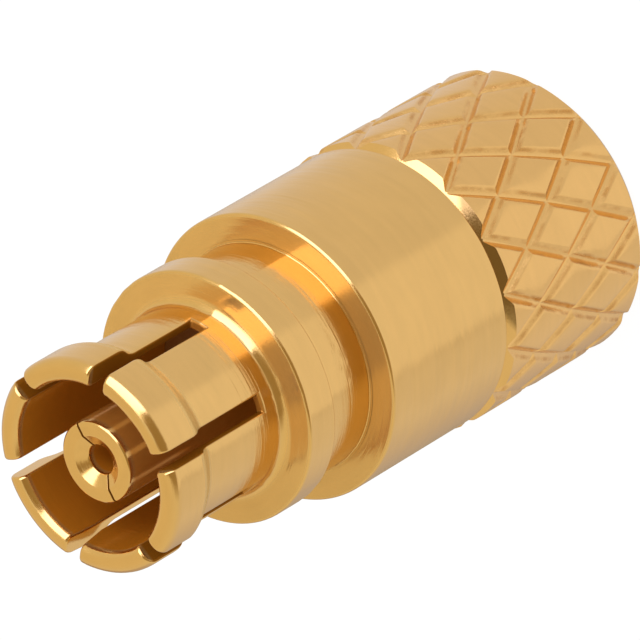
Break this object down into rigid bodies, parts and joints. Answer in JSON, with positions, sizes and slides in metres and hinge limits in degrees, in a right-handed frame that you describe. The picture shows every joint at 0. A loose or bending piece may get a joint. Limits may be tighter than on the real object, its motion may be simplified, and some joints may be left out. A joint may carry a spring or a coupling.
{
  "type": "smpm terminator",
  "caption": "Miniature push-on coaxial terminator with slotted snap fingers, a smooth barrel and a knurled closed rear cap, in matt gold plating.",
  "frame": {"origin": "centre of the flat rear face of the cap", "axes": "+Z along the turned axis, from the rear face towards the finger ends; +X through the middle of one finger slot"},
  "size_m": [0.0038, 0.0038, 0.0084],
  "materials": {
    "outer_contact_gold": "satin gold plating over beryllium copper, with fine turning marks",
    "barrel_gold": "satin gold plating over brass, with fine turning marks",
    "rear_cap_gold": "satin gold plating over knurled brass",
    "centre_contact_gold": "bright gold plating over beryllium copper",
    "inner_gold": "gold plating over brass",
    "bead_polymer": "turned amber polyetherimide",
    "rod_ceramic": "fired alumina with a thin resistive film",
    "end_cap_tin": "tin plating over drawn steel",
    "solder": "soft solder"
  },
  "bodies": {
    "root": {"outer_contact": "outer_contact_gold", "barrel": "barrel_gold", "rear_cap": "rear_cap_gold", "centre_contact": "centre_contact_gold", "bead": "bead_polymer", "bead_bush": "inner_gold", "load_socket": "inner_gold", "resistor_rod": "rod_ceramic", "resistor_front_cap": "end_cap_tin", "resistor_rear_cap": "end_cap_tin", "front_solder": "solder", "rear_solder": "solder", "matching_sleeve": "inner_gold", "ground_plug": "inner_gold"}
  },
  "joints": []
}
